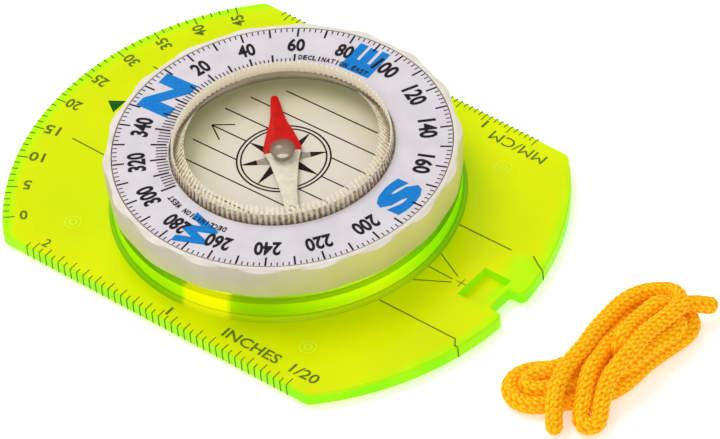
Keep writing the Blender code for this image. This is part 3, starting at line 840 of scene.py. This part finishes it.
def plate_printing(green):
    """Both straight rules, the scale on the front arc and the lines on the plate."""
    level = PLATE_TOP
    edge = PLATE_HALF_WIDTH
    build = bmesh.new()
    side_rule(build, -edge, -26.0, 1.27, 42, 2, (1.6, 0.9), level)
    side_rule(build, edge, -24.1, 1.0, 52, 5, (1.7, 1.0), level)
    for i in range(46):
        inner = 42.35 if i % 5 == 0 else 43.2
        radial_stroke(build, -41.2 + i * 80.5 / 45, inner, FRONT_RADIUS - 0.12, 0.2, level)
    for i, bearing in enumerate((-40.9, -31.6, -22.8, -14.0, -5.1, 4.0, 13.0, 21.5, 30.1, 39.0)):
        text = str(i * 5)
        write(build, text, polar(bearing, 40.95), polar(bearing - 90, 1), 1.25 * len(text), 2.0, level, 0.02)
    for text, place, up, width, height, bold in (
        ("1", (-29.8, -1.3), (1, 0), 0.42, 1.7, 0.0),
        ("2", (-29.4, 23.9), (1, 0), 1.05, 1.7, 0.01),
        ("INCHES  1/20", (-28.3, -20.25), (1, 0), 18.4, 1.95, 0.014),
        ("1", (29.6, -15.2), (-1, 0), 0.42, 1.7, 0.0),
        ("MM/CM", (28.4, -22.65), (-1, 0), 10.5, 1.95, 0.0),
    ):
        write(build, text, place, up, width, height, level, bold)
    for start, end, width in (
        # The line each side of the axis, ahead of the dial and behind it, with the hooks at the rear.
        ((-9.55, 36.0), (-9.55, 26.9), LINE_WIDTH), ((-9.65, -26.1), (-9.5, -40.9), LINE_WIDTH),
        ((-9.5, -40.85), (-10.7, -41.7), 0.2), ((-10.7, -41.65), (-10.65, -42.25), 0.24),
        ((10.05, 36.1), (10.05, 26.7), LINE_WIDTH), ((10.0, -25.9), (10.2, -35.95), LINE_WIDTH),
        ((11.1, -39.5), (10.1, -41.2), LINE_WIDTH), ((10.1, -41.15), (9.5, -42.5), LINE_WIDTH),
        # Three rays and a small cross behind the dial.
        ((1.1, -32.8), (3.45, -27.6), 0.18), ((0.2, -32.4), (0.25, -27.75), 0.18),
        ((-0.4, -32.75), (-3.3, -27.6), 0.18),
        ((-0.6, -34.1), (1.2, -34.1), 0.13), ((0.3, -33.2), (0.3, -35.0), 0.13),
    ):
        stroke(build, start, end, width, level)
    for x in (-10.7, 9.5):
        y = -sqrt(REAR_RADIUS ** 2 - x ** 2) - 0.01
        slab(build, [(x - 0.12, y), (x - 0.12, y - 0.04), (x + 0.12, y - 0.04), (x + 0.12, y)],
             PLATE_BOTTOM + 0.2, PLATE_TOP - 0.1)
    finished("plate_printing", build, [green], "plate", smooth=False)


def foot_marks(pale):
    """The feet's outlines, which show through the plate."""
    build = bmesh.new()
    for number in range(1, 5):
        low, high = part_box(f"foot_{number}")
        x, y = (low.x + high.x) / 2 / MM, (low.y + high.y) / 2 / MM - AXIS_Y
        for radius, width in ((1.25, 0.22), (0.55, 0.3)):
            ring_stroke(build, radius, width, PLATE_TOP, 32, (x, y))
    finished("foot_outlines", build, [pale], "plate", smooth=False)


def index_mark(green):
    mark = bmesh.new()
    slab(mark, [(0.1, 36.9), (-1.45, 34.5), (1.65, 34.5)], PLATE_TOP, PLATE_TOP + INK)
    finished("travel_mark", mark, [green], "plate", smooth=False)


# ---------------------------------------------------------------- lanyard


def hank_point(s, n, height):
    """A place on the ground from the hank's own axis: s along it from the blunt lobe, n across it."""
    at = HANK_START + HANK_AXIS * s + HANK_ACROSS * n
    return (at.x, at.y, height)


def hank_spine(s):
    """How far the bundle's middle lies from the hank's axis."""
    return float(np.interp(s, HANK_STATIONS, (0.0, -0.6, -3.0, -5.6, -3.0, -0.4, 0.5, 0.4, -0.3, -1.2)))


def hank_reach(s):
    """How far the outermost strands' middles lie from the spine."""
    return float(np.interp(s, HANK_STATIONS, (3.2, 3.4, 3.2, 3.2, 4.2, 5.0, 5.3, 4.9, 2.9, 0.9)))


def hank_roof(s):
    """How high the topmost strands' middles lie."""
    return float(np.interp(s, (-4, 2, 8, 13, 17, 22, 26, 30), (4.0, 7.0, 7.0, 7.2, 7.6, 7.2, 5.4, 3.4)))


def side_run(first, last, share, height):
    """Points along one side of the bundle, share of the way from its spine to its outside."""
    count = int(abs(last - first) / 2.5) + 1
    return [hank_point(s, hank_spine(s) + share * hank_reach(s), height)
            for s in np.linspace(first, last, count)]


def end_turn(s, share, low, high, forward):
    """A half turn round an end of the bundle, from its near side to its far side or back."""
    reach = share * hank_reach(s)
    way = 1 if forward else -1
    points = []
    for angle in range(-60, 61, 30):
        swing = radians(angle) * way
        height = low + (high - low) * (angle + 90) / 180
        points.append(hank_point(s + way * reach * cos(swing), hank_spine(s) + reach * sin(swing), height))
    return points


def lobe_turn(radius, height):
    return [hank_point(radius * cos(radians(a)) - 1.0, radius * sin(radians(a)) - 0.6, height)
            for a in range(50, 311, 30)]


def hank_route():
    """The cord's middle line before it settles: an end and a fold at the near side, then the turns."""
    points = [hank_point(*p) for p in (
        (-1.9, -11.2, 1.42), (-1.1, -9.2, 2.6), (0.0, -6.8, 5.4), (1.5, -4.2, 7.0), (3.8, -2.6, 7.0),
        (7.4, -2.6, 6.8),
    )]
    points += side_run(12, 22, 0.85, 7.3)
    points += end_turn(23, 0.75, 6.0, 5.6, True)[::-1]
    points += side_run(21, 11, -0.6, 7.0)
    points += [hank_point(*p) for p in (
        (7.6, -8.4, 5.4), (5.2, -11.4, 2.6), (3.4, -14.2, 1.42), (1.6, -16.4, 1.42), (0.8, -14.2, 1.42),
        (2.4, -11.4, 2.0), (4.8, -8.0, 4.6), (7.0, -5.4, 6.4), (9.4, -3.2, 6.2), (11.8, -0.6, 5.0),
    )]
    points += side_run(14, 21, 0.6, 3.9)
    for right, share, low, reach, lobe in ((25.5, 1.0, 3.9, 2.9, 3.2), (28.6, 1.05, 1.3, 4.7, 1.3)):
        points += end_turn(right - 2, share, low, low, True)[::-1]
        points += side_run(right - 4, 9, -share, low)
        points += [hank_point(4.6, -1.2 - reach, lobe)]
        points += lobe_turn(reach, lobe)[::-1]
        points += [hank_point(5.0, -1.4, lobe)]
        points += side_run(9, right - 4, share, low)
    points += end_turn(22.5, 0.5, 1.3, 1.3, True)[::-1]
    points += side_run(20, 12, -0.5, 1.3)
    points += end_turn(11, 0.5, 1.3, 3.6, False)
    points += side_run(13, 23, 0.2, 3.9)
    points += end_turn(24, 0.6, 3.6, 5.0, True)[::-1]
    points += side_run(21, 12, -0.35, 4.6)
    points += end_turn(10.5, 0.45, 5.0, 5.8, False)
    points += side_run(13, 24, 0.1, 6.0)
    points += [hank_point(27.5, -0.6, 4.6), hank_point(31.6, -1.2, 3.2)]
    return np.array(points)


def hank_limits(points):
    """Draws strands that stray out of the bundle or the lobe back into it."""
    start = np.array(HANK_START)
    flat = points[:, :2] - start
    s = flat @ np.array(HANK_AXIS)
    n = flat @ np.array(HANK_ACROSS)
    marks = np.arange(-6.0, 32.0, 0.5)
    spine = np.interp(s, marks, [hank_spine(m) for m in marks])
    reach = np.interp(s, marks, [hank_reach(m) for m in marks])
    roof = np.interp(s, marks, [hank_roof(m) for m in marks])
    bundled = s > 8
    aside = np.where(bundled, n - spine, 0.0)
    over = np.sign(aside) * np.maximum(np.abs(aside) - reach, 0.0)
    points[:, :2] -= 0.3 * over[:, None] * np.array(HANK_ACROSS)
    points[:, 2] -= 0.3 * np.maximum(points[:, 2] - roof, 0.0)
    return points


def resampled(points, step):
    along = np.concatenate([[0], np.cumsum(np.linalg.norm(np.diff(points, axis=0), axis=1))])
    count = max(2, int(round(along[-1] / step)) + 1)
    at = np.linspace(0, along[-1], count)
    return np.stack([np.interp(at, along, points[:, k]) for k in range(3)], axis=1)


def smoothed(points, rounds):
    for _ in range(rounds):
        points[1:-1] = 0.5 * points[1:-1] + 0.25 * (points[:-2] + points[2:])
    return points


def settled(points, rounds):
    """Lets the cord lie near its route: it can't enter itself or the ground, and it bends softly."""
    route = points.copy()
    step = float(np.linalg.norm(np.diff(points, axis=0), axis=1).mean())
    apart = int(ceil(1.7 * CORD_DIAMETER / step))
    index = np.arange(len(points))
    far = np.abs(index[:, None] - index[None, :]) > apart
    for turn in range(rounds):
        hold = 0.05 * max(0.0, 1 - turn / (0.8 * rounds))
        gap = points[:, None, :] - points[None, :, :]
        distance = np.sqrt((gap ** 2).sum(2)) + 1e-9
        near = far & (distance < CORD_DIAMETER)
        push = np.where(near, (CORD_DIAMETER - distance) / distance * 0.4, 0.0)
        touching = np.maximum(near.sum(1), 1)
        points = points + (gap * push[:, :, None]).sum(1) / touching[:, None] ** 0.5
        points += hold * (route - points)
        points[1:-1] += 0.2 * (0.5 * (points[:-2] + points[2:]) - points[1:-1])
        points = hank_limits(points)
        points[:, 2] = np.maximum(points[:, 2] - 0.01, CORD_DIAMETER / 2 + GROUND_GAP)
    return points


def tube(name, line, radius, sides, material):
    """A knitted tube along a line of points in millimetres, in the row frame's own place."""
    count = len(line)
    ahead = np.gradient(line, axis=0)
    ahead /= np.linalg.norm(ahead, axis=1, keepdims=True)
    normal = np.cross(ahead[0], [0, 0, 1.0])
    normal /= np.linalg.norm(normal)
    travelled = np.concatenate([[0], np.cumsum(np.linalg.norm(np.diff(line, axis=0), axis=1))])
    build = bmesh.new()
    layer = build.verts.layers.float.new("relief")
    rings = []
    for i in range(count):
        normal = normal - ahead[i] * (normal @ ahead[i])
        normal /= np.linalg.norm(normal)
        side = np.cross(ahead[i], normal)
        end = min(travelled[i], travelled[-1] - travelled[i])
        cap = sqrt(max(0.0, 1 - max(0.0, 1 - end / radius) ** 2))
        ring = []
        for k in range(sides):
            angle = 2 * pi * k / sides
            relief = stitch(angle, travelled[i])
            r = (radius * 0.92 + 0.22 * relief) * max(cap, 0.12)
            at = line[i] + (normal * cos(angle) + side * sin(angle)) * r
            vert = build.verts.new(at)
            vert[layer] = relief
            ring.append(vert)
        rings.append(ring)
    for i in range(count - 1):
        for k in range(sides):
            j = (k + 1) % sides
            build.faces.new((rings[i][k], rings[i][j], rings[i + 1][j], rings[i + 1][k]))
    build.faces.new(rings[0])
    build.faces.new(rings[-1])
    bmesh.ops.translate(build, vec=(0.0, -AXIS_Y, 0.0), verts=build.verts)
    return finished(name, build, [material], "plate", sharp=80)


def stitch(angle, along):
    """How proud the yarn stands: leaning stitches in columns round the cord, like small Vs."""
    columns, pitch = 6, 1.1
    place = angle * columns / (2 * pi)
    lean = abs(2 * (place % 1.0) - 1)
    phase = (along / pitch + 0.75 * lean + 0.5 * (int(place) % 2)) % 1.0
    hump = sin(pi * phase) ** 0.7
    valley = min(1.0, 3.0 * (1 - lean)) * min(1.0, 3.0 * lean + 0.35)
    return hump * (0.45 + 0.55 * valley)


def lanyard_piece(material):
    line = smoothed(resampled(hank_route(), 0.9), 8)
    line = settled(resampled(line, 0.9), 220)
    line = smoothed(resampled(line, 0.45), 6)
    step, sides = ((0.16, 24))
    line = resampled(line, step)
    cord = tube("lanyard_cord", line, CORD_DIAMETER / 2, sides, material)
    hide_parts("lanyard")


# ---------------------------------------------------------------- stage


def give(node_name, material):
    """Puts a material on a CAD node that is shown as it is."""
    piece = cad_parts[node_name]
    piece.data.materials.clear()
    piece.data.materials.append(material)


def ground():
    mesh = bpy.data.meshes.new("ground")
    size = 3.0
    corners = [(-size, -size, 0), (size, -size, 0), (size, size, 0), (-size, size, 0)]
    mesh.from_pydata(corners, [], [(0, 1, 2, 3)])
    floor = bpy.data.objects.new("ground", mesh)
    bpy.context.scene.collection.objects.link(floor)
    material, tree, shader = principled("pale_ground", (1.0, 1.0, 1.0, 1.0), 0.9, 0.0)
    shader.inputs["Emission Color"].default_value = (1.0, 1.0, 1.0, 1.0)
    shader.inputs["Emission Strength"].default_value = 0.25
    mesh.materials.append(material)
    floor.location.z = -0.00002


def lamp(name, place, size, power):
    light = bpy.data.lights.new(name, "AREA")
    light.shape = "DISK"
    light.size = size
    light.energy = power
    holder = bpy.data.objects.new(name, light)
    holder.location = place
    aim = Vector((0.0, 0.0, 0.01)) - Vector(place)
    holder.rotation_euler = aim.to_track_quat("-Z", "Y").to_euler()
    bpy.context.scene.collection.objects.link(holder)


def lighting():
    world = bpy.data.worlds.new("studio")
    world.use_nodes = True
    sky = world.node_tree.nodes["Background"]
    sky.inputs["Color"].default_value = (1.0, 1.0, 1.0, 1.0)
    sky.inputs["Strength"].default_value = 0.72
    bpy.context.scene.world = world
    lamp("key", (0.05, 0.45, 0.75), 0.5, 3.4)
    lamp("fill", (-0.6, -0.5, 0.5), 0.6, 0.8)


def camera():
    """A long lens from the rear left, at 44 degrees, rolled a little."""
    azimuth, elevation, roll = radians(-46.043), radians(44.127), radians(-6.466)
    distance = 1.1716
    target = Vector((2.144 * MM, (AXIS_Y - 12.607) * MM, PLATE_TOP * MM))
    back = Vector((sin(azimuth) * cos(elevation), -cos(azimuth) * cos(elevation), sin(elevation)))
    right = Vector((0, 0, 1)).cross(back).normalized()
    up = back.cross(right)
    rolled_right = right * cos(roll) + up * sin(roll)
    rolled_up = up * cos(roll) - right * sin(roll)
    lens = bpy.data.cameras.new("camera")
    lens.sensor_width = 36.0
    lens.lens = 382.14
    lens.clip_start = 0.01
    holder = bpy.data.objects.new("camera", lens)
    turn = Matrix((rolled_right, rolled_up, back)).transposed().to_4x4()
    holder.matrix_world = Matrix.Translation(target + back * distance) @ turn
    bpy.context.scene.collection.objects.link(holder)
    bpy.context.scene.camera = holder
    bpy.context.scene.view_settings.view_transform = "Standard"


def dress():
    """Materials for the CAD nodes, and the pieces that stand for or lie on them."""
    steel = metal("drawn_steel", tone(196, 196, 198), 0.25)
    seal = rubber()
    capsule = capsule_plastic()
    lime = acrylic()
    black = ink("black_ink", tone(16, 15, 18), tone(40, 38, 42))
    give("baseplate", lime)
    for number in range(1, 5):
        give(f"foot_{number}", foot_vinyl())
    give("retaining_ring", steel)
    give("dial_card", dial_paper())
    give("capsule_cup", capsule)
    give("capsule_gasket", seal)
    give("capsule_friction_ring", seal)
    give("floor_card", floor_paper())
    give("filler_plug", capsule)
    give("pivot_seat", capsule)
    give("pivot_pin", steel)
    give("jewel_cup", metal("jewel_brass", tone(214, 178, 92), 0.25))
    bezel_piece(white_plastic())
    dial_printing(black, ink("blue_ink", tone(0, 116, 196), tone(26, 134, 204)))
    declination_printing(black)
    capsule_piece(clear_cover(), knurl_plastic(), neck_lining())
    floor_ink = ink("floor_ink", tone(18, 12, 6), tone(46, 38, 30))
    floor_printing(floor_ink, ink("grey_ink", tone(152, 144, 134), tone(184, 176, 164)))
    red = enamel("needle_red", tone(216, 8, 0), tone(190, 4, 0))
    cream = enamel("needle_cream", tone(232, 226, 208), tone(214, 206, 184))
    needle_pieces(red, cream, ink("mark_grey", tone(120, 112, 100), tone(150, 142, 128)))
    hub_piece(hub_plastic())
    plate_printing(ink("olive_ink", tone(84, 104, 6), tone(120, 142, 10)))
    index_mark(ink("green_ink", tone(6, 84, 10), tone(20, 104, 20)))
    foot_marks(ink("foot_shadow", tone(206, 232, 24), tone(220, 238, 40)))


camera()
lanyard_piece(cord_yarn())
dress()
ground()
lighting()
